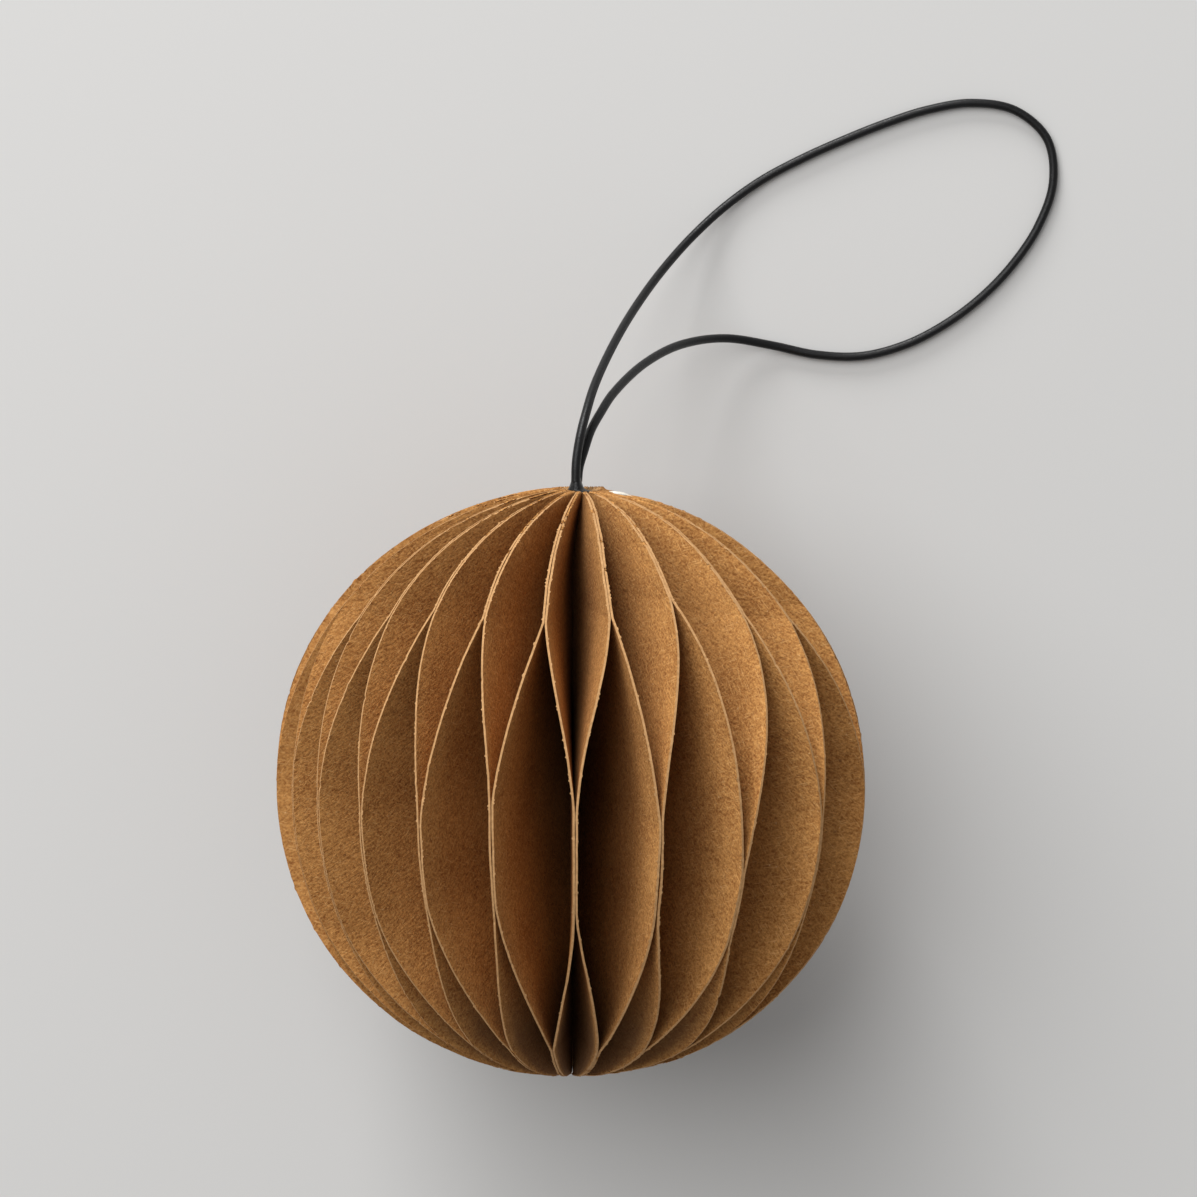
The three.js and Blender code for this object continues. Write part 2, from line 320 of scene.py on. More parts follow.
def cord_point(aside, along, height):
    return Vector((BALL_CENTRE.x, BALL_CENTRE.y, 0)) + Vector((aside, along, height)) * MILLIMETRE


def handles_along(points):
    """Left and right handle of each point, for a curve that passes evenly through all of them."""
    ends = [2 * points[0] - points[1], *points, 2 * points[-1] - points[-2]]
    pairs = []
    for before, here, after in zip(ends, points, ends[2:]):
        back = math.sqrt((here - before).length)
        ahead = math.sqrt((after - here).length)
        slope = (here - before) / back - (after - before) / (back + ahead) + (after - here) / ahead
        pairs.append((here - slope * back / 3, here + slope * ahead / 3))
    return pairs


def lay_cord():
    points = [cord_point(*point) for point in CORD_ROUTE]
    curve = bpy.data.curves.new("hanging_loop", "CURVE")
    curve.dimensions = "3D"
    curve.bevel_depth = CORD_DIAMETER / 2
    curve.bevel_resolution = 5
    curve.use_fill_caps = True
    curve.resolution_u = 10
    spline = curve.splines.new("BEZIER")
    spline.bezier_points.add(len(points) - 1)
    for stop, point, (left, right) in zip(spline.bezier_points, points, handles_along(points)):
        stop.handle_left_type = "FREE"
        stop.handle_right_type = "FREE"
        stop.co = point
        stop.handle_left = left
        stop.handle_right = right
    curve.materials.append(CORD_FINISH)
    cord = bpy.data.objects.new("hanging_loop", curve)
    bpy.context.scene.collection.objects.link(cord)
    return cord


cord = lay_cord()

# %% [markdown]
# ## Kraft card
# The leaves are uncoated brown kraft card. Close up it shows short fibres that lie mostly one way,
# felted with others across them, soft clouds where the pulp is thicker, and a few flecks. The
# pattern reads the leaf's flat UV map, in metres, so that it follows the card round its bends. The
# card is also painted darker as shade deep in its cells, and an attribute of the leaf says how much.

# %% Mix the kraft card finish
KRAFT_DARK = (0.265, 0.100, 0.022)
KRAFT_LIGHT = (0.64, 0.322, 0.098)
KRAFT_HAIR = (0.71, 0.40, 0.15)
KRAFT_FLECK = (0.70, 0.45, 0.22)
KRAFT_SPECK = (0.16, 0.07, 0.025)
KRAFT_PAINTED_SHADE = (0.15, 0.066, 0.024)
CLOUD_SCALE = 90
MOTTLE_SCALE = 900
GRAIN_SCALE = 2600
FIBRE_SPREAD = (750, 2600, 1)
FIBRE_SLANT = 24
CROSS_SLANT = -48
HAIR_SPREAD = (430, 5000, 1)
HAIR_SLANTS = (52, -15)
FLECK_SCALE = 1700
SPECK_SCALE = 900


def kraft_fibres(nodes, links, flat):
    """Tone and relief of the felted fibres, from noise of several sizes and slants."""
    cloud = noise_of(nodes, links, flat, CLOUD_SCALE, detail=3)
    mottle = noise_of(nodes, links, flat, MOTTLE_SCALE, detail=4, roughness=0.6)
    slanted = stretched(nodes, links, turned(nodes, links, flat, FIBRE_SLANT), FIBRE_SPREAD)
    fibre = noise_of(nodes, links, slanted, scale=1, detail=3, roughness=0.55)
    crossing = stretched(nodes, links, turned(nodes, links, flat, CROSS_SLANT), FIBRE_SPREAD)
    cross = noise_of(nodes, links, crossing, scale=1, detail=3, roughness=0.55)
    grain = noise_of(nodes, links, flat, GRAIN_SCALE, detail=2, roughness=0.6)
    tone = summed(
        nodes, links, (cloud, 0.5), (mottle, 0.6), (fibre, 0.6), (cross, 0.5), (grain, 1.1),
    )
    relief = summed(nodes, links, (fibre, 1.1), (cross, 0.6), (mottle, 0.5), (grain, 0.5))
    return tone, relief


def kraft_card_finish():
    finish, nodes, links, shader = new_finish("brown_kraft_card")
    flat = add_node(nodes, "ShaderNodeUVMap", uv_map="flat_card").outputs["UV"]
    tone, relief = kraft_fibres(nodes, links, flat)
    share = ranged(nodes, links, tone, low=1.35, high=1.95)
    colour = blended(nodes, links, share, KRAFT_DARK, KRAFT_LIGHT)
    for slant in HAIR_SLANTS:
        lines = stretched(nodes, links, turned(nodes, links, flat, slant), HAIR_SPREAD)
        strands = noise_of(nodes, links, lines, scale=1, detail=1)
        hair = ranged(nodes, links, strands, low=0.61, high=0.72, to_high=0.65)
        colour = blended(nodes, links, hair, colour, KRAFT_HAIR)
    flecks = noise_of(nodes, links, flat, FLECK_SCALE, detail=1)
    pale = ranged(nodes, links, flecks, low=0.72, high=0.8, to_high=0.7)
    colour = blended(nodes, links, pale, colour, KRAFT_FLECK)
    specks = noise_of(nodes, links, flat, SPECK_SCALE, detail=1)
    dark = ranged(nodes, links, specks, low=0.26, high=0.2, to_high=0.5)
    colour = blended(nodes, links, dark, colour, KRAFT_SPECK)
    # Painted shade: the card is darkened towards its spine and in the bottom cells, where shade falls
    painted_shade = add_node(nodes, "ShaderNodeAttribute", attribute_name="painted_shade").outputs["Fac"]
    colour = blended(nodes, links, painted_shade, colour, KRAFT_PAINTED_SHADE)
    links.new(colour, shader.inputs["Base Color"])
    links.new(raised(nodes, links, relief, strength=0.6, distance=0.00018), shader.inputs["Normal"])
    shader.inputs["Roughness"].default_value = 0.88
    shader.inputs["Specular IOR Level"].default_value = 0.25
    return finish


CARD_FINISH = kraft_card_finish()
print("mixed", CARD_FINISH.name)

# %% [markdown]
# ## Cut edge
# A cut lays the inside of the card bare, so the edge is paler and rougher than the faces, with loose
# fibres. It is a finish of its own, because the edge catches the light as a fine pale line.

# %% Mix the cut edge finish
EDGE_DARK = (0.35, 0.186, 0.075)
EDGE_LIGHT = (0.585, 0.338, 0.153)


def cut_edge_finish():
    finish, nodes, links, shader = new_finish("kraft_cut_edge")
    place = add_node(nodes, "ShaderNodeTexCoord").outputs["Object"]
    fuzz = noise_of(nodes, links, place, scale=1800, detail=3, roughness=0.6)
    share = ranged(nodes, links, fuzz, low=0.2, high=0.75)
    links.new(blended(nodes, links, share, EDGE_DARK, EDGE_LIGHT), shader.inputs["Base Color"])
    links.new(raised(nodes, links, fuzz, strength=0.3, distance=0.0001), shader.inputs["Normal"])
    shader.inputs["Roughness"].default_value = 0.95
    shader.inputs["Specular IOR Level"].default_value = 0.15
    return finish


EDGE_FINISH = cut_edge_finish()
print("mixed", EDGE_FINISH.name)

# %% [markdown]
# ## A flat blank
# Every leaf is cut from the same half-round blank: a straight edge for the core, a round edge, and
# two small round corners. A grid is the right start, because a bent card keeps straight lines from
# its spine to its rim, and each row of the grid can be one of those lines. Rows are close together
# so that the rim can be ragged, and columns crowd towards the rim where the raggedness is.

# %% Measure the blank
CARD_THICKNESS = 0.0003
RIM_THICKNESS = 0.00029
GLUE_FILM = 0.00003
CORNER_RADIUS = 0.001
LEAF_COUNT = len(LEAF_NODES)
LEAF_PITCH = CARD_THICKNESS + GLUE_FILM
CORE_RADIUS = LEAF_PITCH / (2 * math.sin(math.pi / LEAF_COUNT))
CORNER_OUT = CORE_RADIUS + CORNER_RADIUS
CORNER_UP = math.sqrt((BALL_RADIUS - CORNER_RADIUS) ** 2 - CORNER_OUT ** 2)
TANGENT_UP = BALL_RADIUS * math.sin(math.atan2(CORNER_UP, CORNER_OUT))
ROUND_ROWS = 541
CORNER_ROWS = 9
CORNER_SWEEP = math.radians(87)
COLUMN_STOPS = np.array([0, 0.3, 0.6, 0.84, 0.96, 0.993, 1])


def blank_heights():
    """Heights of the rows along the spine, even along the round edge and finer at the corners."""
    reach = math.asin(CORNER_UP / BALL_RADIUS)
    rounds = BALL_RADIUS * np.sin(np.linspace(-reach, reach, ROUND_ROWS))
    turn = np.sin(np.linspace(0, CORNER_SWEEP, CORNER_ROWS + 1)[1:])
    corner = CORNER_UP + CORNER_RADIUS * turn
    return np.concatenate([-corner[::-1], rounds, corner])


HEIGHTS = blank_heights()
# How far each row stands past the centre of its corner, and half the corner's width there
over = np.clip(np.abs(HEIGHTS) - CORNER_UP, 0, None)
half_corner = np.sqrt(CORNER_RADIUS ** 2 - over ** 2)
INNER = np.where(over > 0, CORNER_OUT - half_corner, CORE_RADIUS)
ROUND_EDGE = np.sqrt(BALL_RADIUS ** 2 - HEIGHTS ** 2)
OUTER = np.where(np.abs(HEIGHTS) > TANGENT_UP, CORNER_OUT + half_corner, ROUND_EDGE)
LATITUDES = np.degrees(np.arcsin(HEIGHTS / BALL_RADIUS))
print("blank has", len(HEIGHTS), "rows and a core of", in_mm(CORE_RADIUS), "mm")

# %% [markdown]
# ## Painted shade in the cells
# The card is painted darker where shade falls: darkest along the upper spine, deep in the cells, and
# clearing towards the rim. The cells near the bottom pole are painted dark as shade too, all but a
# thin band at the rim.

# %% Map the painted shade over the blank
# Painted shade: how dark the card is painted along its spine and in the bottom cells, by latitude
SPINE_LATITUDES = (-25, 5)
SPINE_SHADE_SHARES = (0, 0.6)
SPINE_REACH = 0.95
END_LATITUDES = (-52, -34)
END_SHADE_SHARES = (0.75, 0)
END_MARGIN = 0.12


def painted_shade_share(out_share, latitude):
    """Share of painted shade at a place on the blank, from its spine (0) to its rim (1)."""
    near_spine = np.clip(1 - out_share / SPINE_REACH, 0, 1)
    inside_rim = np.clip((1 - out_share) / END_MARGIN, 0, 1)
    spine = np.interp(latitude, SPINE_LATITUDES, SPINE_SHADE_SHARES) * near_spine
    end = np.interp(latitude, END_LATITUDES, END_SHADE_SHARES) * inside_rim
    return np.maximum(spine, end)


print("soaked at the spine", SPINE_SHADE_SHARES[1], "and halfway out", round(painted_shade_share(0.5, 10), 2))

# %% [markdown]
# ## Cutting the blank
# The grid has a point for each of the rows and columns measured above. The blank also carries what
# its finish and its thickness need, so that every copy has it: a flat UV map in metres, the share of
# painted shade, and a weight that thins the card a little towards the rim.

# %% Cut the blank from a grid
TAPER_START = 0.5


def cut_blank():
    rows = len(HEIGHTS)
    columns = len(COLUMN_STOPS)
    bpy.ops.mesh.primitive_grid_add(x_subdivisions=columns - 1, y_subdivisions=rows - 1, size=1)
    blank = bpy.context.object
    blank.name = "blank_leaf"
    mesh = blank.data
    grid = np.empty(len(mesh.vertices) * 3)
    mesh.vertices.foreach_get("co", grid)
    # The grid is one unit wide about its middle
    grid = grid.reshape(-1, 3) + 0.5
    column = np.rint(grid[:, 0] * (columns - 1)).astype(int)
    row = np.rint(grid[:, 1] * (rows - 1)).astype(int)
    mesh.materials.append(CARD_FINISH)
    mesh.materials.append(EDGE_FINISH)
    return blank, row, column


def mark_blank(blank, row, column):
    mesh = blank.data
    out = INNER[row] + COLUMN_STOPS[column] * (OUTER - INNER)[row]
    flat = np.stack([out, HEIGHTS[row]], axis=1)
    corner_vertex = np.empty(len(mesh.loops), dtype=int)
    mesh.loops.foreach_get("vertex_index", corner_vertex)
    mesh.uv_layers[0].name = "flat_card"
    mesh.uv_layers["flat_card"].uv.foreach_set("vector", flat[corner_vertex].ravel())
    taper = blank.vertex_groups.new(name="thickness")
    weights = np.interp(COLUMN_STOPS, (TAPER_START, 1), (1, RIM_THICKNESS / CARD_THICKNESS))
    for stop, weight in enumerate(weights):
        taper.add(np.flatnonzero(column == stop).tolist(), weight, "REPLACE")
    # Painted shade: how dark each point of the card is painted
    painted_shade = mesh.attributes.new("painted_shade", "FLOAT", "POINT")
    painted_shade.data.foreach_set("value", painted_shade_share(COLUMN_STOPS[column], LATITUDES[row]))


blank, BLANK_ROW, BLANK_COLUMN = cut_blank()
mark_blank(blank, BLANK_ROW, BLANK_COLUMN)
ON_RIM = BLANK_COLUMN == len(COLUMN_STOPS) - 1
print("blank has", len(blank.data.vertices), "vertices")

# %% [markdown]
# ## The fan
# A ridge is a pair of leaves glued round the middle. The ridges that face up stand where the maker's
# hands left them, and the hidden ones are spread evenly, with the gap that the ball rests on at the
# bottom. Between two ridges lies a joint, where the leaves of both are glued near the poles.

# %% Spread the ridges
RIDGES_ON_TOP = [-66, -54.8, -42, -28.3, -14, 1.5, 17.4, 35, 55.6, 80]
JOINTS_ON_TOP = [-58.7, -47, -34, -20, -5.3, 10.3, 26.9, 46.5, 64.3]
HIDDEN_GAPS_RIGHT = 7
HIDDEN_GAPS_LEFT = 8
RESTING_GAP = 13.5
FULL_TURN = 360


def spread_ridges():
    last_right = (FULL_TURN - RESTING_GAP) / 2
    first_left = (FULL_TURN + RESTING_GAP) / 2
    right = np.linspace(RIDGES_ON_TOP[-1], last_right, HIDDEN_GAPS_RIGHT + 1)
    left = np.linspace(first_left, RIDGES_ON_TOP[0] + FULL_TURN, HIDDEN_GAPS_LEFT + 1)
    return np.concatenate([RIDGES_ON_TOP, right[1:], left[:-1]])


def spread_joints():
    next_ridges = np.append(RIDGES[1:], RIDGES[0] + FULL_TURN)
    halfway = (RIDGES + next_ridges) / 2
    return np.concatenate([JOINTS_ON_TOP, halfway[len(JOINTS_ON_TOP):]])


RIDGES = spread_ridges()
JOINTS = spread_joints()
# The spines stand evenly round the core, turned to lie as near to their ridges as they can
SPINE_STEP = FULL_TURN / LEAF_COUNT
FAN_TURN = np.mean(RIDGES - SPINE_STEP * (2 * np.arange(len(RIDGES)) + 0.5))
print(len(RIDGES), "ridges from", round(RIDGES[0], 1), "to", round(RIDGES[-1], 1), "degrees")

# %% [markdown]
# ## Glue stripes
# The glue was laid by hand, so no two stripes end at quite the same latitude. The stripes that face
# up have their own ends, and the hidden ones wander a little about the usual place.

# %% Set where each glue stripe ends
TOP_FOOT = 38.5
MIDDLE_HEAD = 0
MIDDLE_FOOT = -18
BOTTOM_HEAD = -56
TOP_FEET_SEEN = [36.8, 37.5, 39.4, 38, 37.5, 38.4, 42.3, 38.3, 36.7]
MIDDLE_HEADS_SEEN = [7, 1, -1, -2, 2.5, 1, -1, -11, -2.5, 0]
MIDDLE_FEET_SEEN = [-27, -26, -20, -17.5, -17, -18, -17.5, -24, -19, -18]
BOTTOM_HEADS_SEEN = [-54, -55.5, -55.3, -55.6, -55.4, -56.2, -56.7, -58.9, -57]
STRIPE_WANDER = 0.8
STRIPE_SEED = 7
stripe_chance = np.random.default_rng(STRIPE_SEED)


def stripe_ends(usual, seen):
    """One end for each stripe of the fan: the seen ones first, as the ridges are, then the rest."""
    hidden = usual + STRIPE_WANDER * stripe_chance.standard_normal(len(RIDGES) - len(seen))
    return np.concatenate([seen, hidden])


TOP_FEET = stripe_ends(TOP_FOOT, TOP_FEET_SEEN)
BOTTOM_HEADS = stripe_ends(BOTTOM_HEAD, BOTTOM_HEADS_SEEN)
MIDDLE_HEADS = stripe_ends(MIDDLE_HEAD, MIDDLE_HEADS_SEEN)
MIDDLE_FEET = stripe_ends(MIDDLE_FOOT, MIDDLE_FEET_SEEN)
stripe_means = [ends.mean() for ends in (TOP_FEET, MIDDLE_HEADS, MIDDLE_FEET, BOTTOM_HEADS)]
print("stripes end at about", np.round(stripe_means, 1).tolist(), "degrees")

# %% [markdown]
# ## How a card swings
# Between two stripes the card swings from its ridge to its joint. The curve is a Hermite one, set
# by how fast the leaf leaves its ridge and how fast it reaches its joint, where 1 for both is a
# straight line. Leaves that face up have their own pairs of slopes, left and right of each ridge,
# and the others have the usual pair.

# %% Work out the swing of a leaf
USUAL_SLOPES = (0.4, 1.2)
LEFT_SLOPES = [
    (0.3, 0.8), (0.5, 0.9), (0.5, 0.9), (0.2, 0.7), (0.3, 0.9),
    (0.3, 0.9), (0.7, 1.4), (0.8, 2.6), (0.5, 1.2), (0.5, 1.2),
]
RIGHT_SLOPES = [
    (0.4, 1.4), (0.4, 1.4), (0.4, 1.4), (0.5, 1.4), (0.4, 1.3),
    (0.2, 1.1), (0.2, 0.6), (0.5, 0.4), (0.6, 1.2), (0.5, 1.2),
]
LOWER_LEFT_SLOPES = (0, 1.5)
LOWER_RIGHT_SLOPES = (0.4, 0.9)


def hermite(t, leaving, reaching):
    return t * t * (3 - 2 * t) + leaving * t * (1 - t) ** 2 - reaching * t * t * (1 - t)


def swing_of(latitudes, ends, upper_slopes, lower_slopes):
    """0 where the leaf lies on its ridge and 1 where it lies on its joint, for each latitude."""
    top_foot, middle_head, middle_foot, bottom_head = ends
    upper = np.clip((latitudes - middle_head) / (top_foot - middle_head), 0, 1)
    lower = np.clip((middle_foot - latitudes) / (middle_foot - bottom_head), 0, 1)
    return hermite(upper, *upper_slopes) + hermite(lower, *lower_slopes)


usual_ends = (TOP_FOOT, MIDDLE_HEAD, MIDDLE_FOOT, BOTTOM_HEAD)
usual_swing = swing_of(LATITUDES, usual_ends, USUAL_SLOPES, USUAL_SLOPES)
on_stripe = (usual_swing == 0) | (usual_swing == 1)
print("share of rows on a stripe", round(float(np.mean(on_stripe)), 2))

# %% [markdown]
# ## Ragged rims
# A rim cut by hand isn't a true circle: it wanders by less than a tenth of a millimetre, it is rough
# at the scale of the fibres, and here and there a fibre tuft stands out or a nick is torn in. The
# points of the rim itself are moved, because the outline of the ball shows them.

# %% Draw a ragged rim
RIM_STEP = BALL_RADIUS * math.radians(LATITUDES[ROUND_ROWS // 2 + 1] - LATITUDES[ROUND_ROWS // 2])
WANDER_DEPTH = 0.000025
WANDER_LENGTH = 0.012
ROUGH_DEPTH = 0.000010
ROUGH_LENGTH = 0.0005
TUFTS_ON_RIM = 12
TUFT_DEPTH = 0.0002
TUFT_WIDTH = 0.0003
# Shares of that depth and width, where a depth below zero is a nick
TUFT_DEPTHS = (-1.0, 0.7)
TUFT_WIDTHS = (0.6, 1.6)


def smooth_chance(chance, length):
    """Random heights along the rim, smoothed over a length and scaled to about one."""
    span = max(1, round(length / RIM_STEP))
    window = np.hanning(2 * span + 3)
    margin = 4 * span
    raw = chance.standard_normal(len(HEIGHTS) + 2 * margin)
    heights = np.convolve(raw, window / math.sqrt(np.sum(window ** 2)), mode="same")
    return heights[margin:margin + len(HEIGHTS)]


def ragged_rim(chance):
    ragged = WANDER_DEPTH * smooth_chance(chance, WANDER_LENGTH)
    ragged += ROUGH_DEPTH * smooth_chance(chance, ROUGH_LENGTH)
    along = np.arange(len(HEIGHTS)) * RIM_STEP
    for tuft in range(TUFTS_ON_RIM):
        place = chance.uniform(0, along[-1])
        width = TUFT_WIDTH * chance.uniform(*TUFT_WIDTHS)
        depth = TUFT_DEPTH * chance.uniform(*TUFT_DEPTHS)
        ragged += depth * np.exp(-((along - place) / width) ** 2)
    return ragged


sample_rim = ragged_rim(np.random.default_rng(1))
print("a rim is ragged by", in_mm(np.ptp(sample_rim)), "mm")

# %% [markdown]
# ## Burrs
# The knife pushes small burrs of fibre over the side of the card that isn't glued. A bump in the
# finish would not show them, because they stand out against the dark cell beside them. So a burr is
# one point of the rim that is drawn out over the side that is free at its latitude.

# %% Draw the burrs of a rim
BURRS_ON_RIM = 45
BURR_DEPTH = 0.0002
BURR_SHARES = (0.2, 1)
BURR_LATITUDE = 78


def burred_rim(chance, free_side):
    """How far the burrs reach aside along the rim, to the right where free_side is above zero."""
    rows_with_room = np.flatnonzero(np.abs(LATITUDES) < BURR_LATITUDE)
    rows = chance.choice(rows_with_room, BURRS_ON_RIM, replace=False)
    depths = BURR_DEPTH * chance.uniform(*BURR_SHARES, BURRS_ON_RIM)
    reach = np.zeros(len(HEIGHTS))
    reach[rows] = depths * np.sign(free_side[rows])
    return reach


print(BURRS_ON_RIM, "burrs on each rim, up to", in_mm(BURR_DEPTH), "mm long")

# %% [markdown]
# ## How the ball has shifted
# The ball isn't quite regular. Its core leans to one side near the top, where the cord pulls at it.
# The leaves were pressed down in front of the pole and pushed up behind it when the cord was pulled
# through, and on the right side the rims have slipped down by less than a millimetre. Each of these
# is a smooth shift, so neighbouring leaves stay together.

# %% Measure the lean, the press and the slip
AXIS_LEAN = 0.0017
LEAN_START = 0.030
PRESS_DEPTH = 0.0004
PRESS_FROM = 56.0
PRESS_TO = 77.0
PRESS_FADE = 3
RAISE_HEIGHT = 0.0003
RAISE_FROM = 82.0
RAISE_TO = 87.0
FIRST_RAISED_JOINT = 90
LAST_RAISED_JOINT = 180
SLIP_ASIDE = 0.00046
SLIP_DOWN = 0.00077
SLIP_FROM = -85.0
SLIP_TO = -55.0


def lean_at(heights):
    climbed = np.clip((heights - LEAN_START) / (BALL_RADIUS - LEAN_START), 0, 1)
    return AXIS_LEAN * climbed ** 2


def eased(values, start, end):
    t = np.clip((values - start) / (end - start), 0, 1)
    return t * t * (3 - 2 * t)


def slip_at(angle, latitude):
    """How far aside and down the rims of the right side have slipped."""
    share = np.clip(np.sin(np.radians(angle)), 0, 1) ** 2 * eased(latitude, SLIP_FROM, SLIP_TO)
    return SLIP_ASIDE * share, SLIP_DOWN * share


def pressed_heights(joint):
    """Heights of the rows of a leaf, pressed down in front of the pole or pushed up behind it."""
    facing = max(0, math.cos(math.radians(joint)))
    lowered = PRESS_DEPTH * facing ** PRESS_FADE * eased(LATITUDES, PRESS_FROM, PRESS_TO)
    if not FIRST_RAISED_JOINT < joint < LAST_RAISED_JOINT:
        return HEIGHTS - lowered
    lifted = RAISE_HEIGHT * math.sin(math.radians(joint)) * eased(LATITUDES, RAISE_FROM, RAISE_TO)
    return HEIGHTS - lowered + lifted


print("the pole leans aside by", in_mm(AXIS_LEAN), "mm")

# %% [markdown]
# ## Bending the leaves
# A leaf is a copy of the blank. Each of its rows is laid as a straight line from the spine to a
# point on the rim, turned about the axis by the swing at its latitude. A card bends one way only, so
# straight rows are what a real leaf has. Two things keep the leaves from looking drawn: a slight warp
# between the stripes, and glued pairs whose rims stand open by a hair.

# %% Bend a leaf into its place
LEAF_SEED = 100
WARP_DEPTH = 0.00008
WARP_LENGTH = 0.015
OPENING = 0.00005
OPENING_LENGTH = 0.005
OPENING_POWER = 10


def outwards(degrees):
    angle = np.radians(degrees)
    return np.stack([np.sin(angle), -np.cos(angle)], axis=-1)


def across(degrees):
    angle = np.radians(degrees)
    return np.stack([np.cos(angle), np.sin(angle)], axis=-1)


def leaf_plan(angle, side, order, swing):
    """Every vertex of a leaf seen along the axis, and how far out the ragged rim stands there."""
    chance = np.random.default_rng(LEAF_SEED + order)
    offset = side * LEAF_PITCH / 2 * (1 - 2 * swing)
    rim = OUTER[:, None] * outwards(angle) + offset[:, None] * across(angle)
    spine = CORE_RADIUS * outwards(FAN_TURN + SPINE_STEP * order)
    along = rim - spine
    along /= np.linalg.norm(along, axis=1, keepdims=True)
    sideways = np.stack([-along[:, 1], along[:, 0]], axis=1)
    start = spine + along * (INNER - CORE_RADIUS)[:, None]
    share = COLUMN_STOPS[BLANK_COLUMN][:, None]
    plan = start[BLANK_ROW] + share * (rim - start)[BLANK_ROW]
    warp = WARP_DEPTH * 4 * swing * (1 - swing) * smooth_chance(chance, WARP_LENGTH)
    plan += share * (warp[:, None] * sideways)[BLANK_ROW]
    open_rim = OPENING * np.abs(smooth_chance(chance, OPENING_LENGTH)) * side * (1 - 2 * swing)
    plan += share ** OPENING_POWER * (open_rim[:, None] * sideways)[BLANK_ROW]
    ragged = np.where(ON_RIM, ragged_rim(chance)[BLANK_ROW], 0)
    plan += ragged[:, None] * (OUTER / BALL_RADIUS)[BLANK_ROW][:, None] * along[BLANK_ROW]
    return plan, ragged


def leaf_points(ridge, joint, side, order, swing):
    """Place of every vertex of a leaf, where side is -1 left of its ridge and 1 right of it."""
    angle = ridge + (joint - ridge) * swing
    plan, ragged = leaf_plan(angle, side, order, swing)
    share = COLUMN_STOPS[BLANK_COLUMN]
    slip_aside, slip_down = slip_at(angle, LATITUDES)
    height = pressed_heights(joint)[BLANK_ROW] - share * slip_down[BLANK_ROW]
    height += ragged * (HEIGHTS / BALL_RADIUS)[BLANK_ROW]
    aside = plan[:, 0] + lean_at(HEIGHTS)[BLANK_ROW] + share * slip_aside[BLANK_ROW]
    # The ball was worked out standing up. Lying down, its axis runs along Y and its front looks up.
    lying = np.stack([aside, height, -plan[:, 1]], axis=1)
    return lying + np.array(BALL_CENTRE)


print("a leaf warps by about", in_mm(WARP_DEPTH), "mm")

# %% [markdown]
# ## Cutting the rims
# A Solidify modifier leaves a rim square. A knife that is held a little over cuts it at a slant, so
# one edge of every rim stands higher and catches the light. The burrs are drawn out here too. A
# bevel would be even all along, so the points of the two edges are moved instead.

# %% Cut the rim of a leaf
RIM_SLANT = 0.00005


def cut_rim(leaf, ridge, burrs):
    """Cut the rim at a slant, lower on its left, and draw out its burrs."""
    mesh = leaf.data
    points = np.empty(len(mesh.vertices) * 3)
    mesh.vertices.foreach_get("co", points)
    front, back = points.reshape(2, -1, 3)
    outward = front + back - 2 * np.array(BALL_CENTRE)
    outward *= RIM_SLANT / 2 / np.linalg.norm(outward, axis=1, keepdims=True)
    rightward = np.array([math.cos(math.radians(ridge)), 0, -math.sin(math.radians(ridge))])
    raised_side = np.sign((front - back) @ rightward)[:, None]
    aside = (front - back) / np.linalg.norm(front - back, axis=1, keepdims=True)
    reach = burrs[BLANK_ROW][:, None] * raised_side
    front[ON_RIM] += (outward * raised_side + np.clip(reach, 0, None) * aside)[ON_RIM]
    back[ON_RIM] -= (outward * raised_side + np.clip(-reach, 0, None) * aside)[ON_RIM]
    mesh.vertices.foreach_set("co", points)
    mesh.update()


print("one edge of a rim stands", in_mm(RIM_SLANT), "mm higher than the other")

# %% [markdown]
# ## Making the leaves
# Now each leaf is copied from the blank, bent, given its thickness by a Solidify modifier and cut
# along its rim. Its map is moved along a little, so that no two leaves show the same piece of card.
# Glued leaves keep a hair of room between them, and the folds at the edges stay sharp.

# %% Make every leaf
BURR_SEED = 200
UV_STEP = 0.37
PAIR_GAP = 0.000006
SHARP_FOLD = math.radians(40)


def thicken(leaf):
    bpy.context.view_layer.objects.active = leaf
    wall = leaf.modifiers.new("card thickness", "SOLIDIFY")
    wall.thickness = LEAF_PITCH - PAIR_GAP
    wall.vertex_group = "thickness"
    wall.offset = 0
    wall.material_offset_rim = 1
    bpy.ops.object.modifier_apply(modifier=wall.name)


def make_leaf(order):
    # Two leaves make a ridge, and the left one shares its joint with the ridge before
    pair, right = divmod(order, 2)
    side = 1 if right else -1
    gap = pair if right else pair - 1
    ridge = RIDGES[pair]
    joint = JOINTS[gap] if gap >= 0 else JOINTS[gap] - FULL_TURN
    ends = (TOP_FEET[gap], MIDDLE_HEADS[pair], MIDDLE_FEET[pair], BOTTOM_HEADS[gap])
    seen_slopes = RIGHT_SLOPES if right else LEFT_SLOPES
    upper_slopes = seen_slopes[pair] if pair < len(seen_slopes) else USUAL_SLOPES
    lower_slopes = LOWER_RIGHT_SLOPES if right else LOWER_LEFT_SLOPES
    swing = swing_of(LATITUDES, ends, upper_slopes, lower_slopes)
    leaf = blank.copy()
    leaf.data = blank.data.copy()
    leaf.name = f"card_leaf_{order + 1:02d}"
    bpy.context.scene.collection.objects.link(leaf)
    mesh = leaf.data
    mesh.vertices.foreach_set("co", leaf_points(ridge, joint, side, order, swing).ravel())
    flat = np.empty(len(mesh.loops) * 2)
    mesh.uv_layers["flat_card"].uv.foreach_get("vector", flat)
    mesh.uv_layers["flat_card"].uv.foreach_set("vector", flat + UV_STEP * order)
    thicken(leaf)
    burrs = burred_rim(np.random.default_rng(BURR_SEED + order), side * (1 - 2 * swing))
    cut_rim(leaf, ridge, burrs)
    return leaf


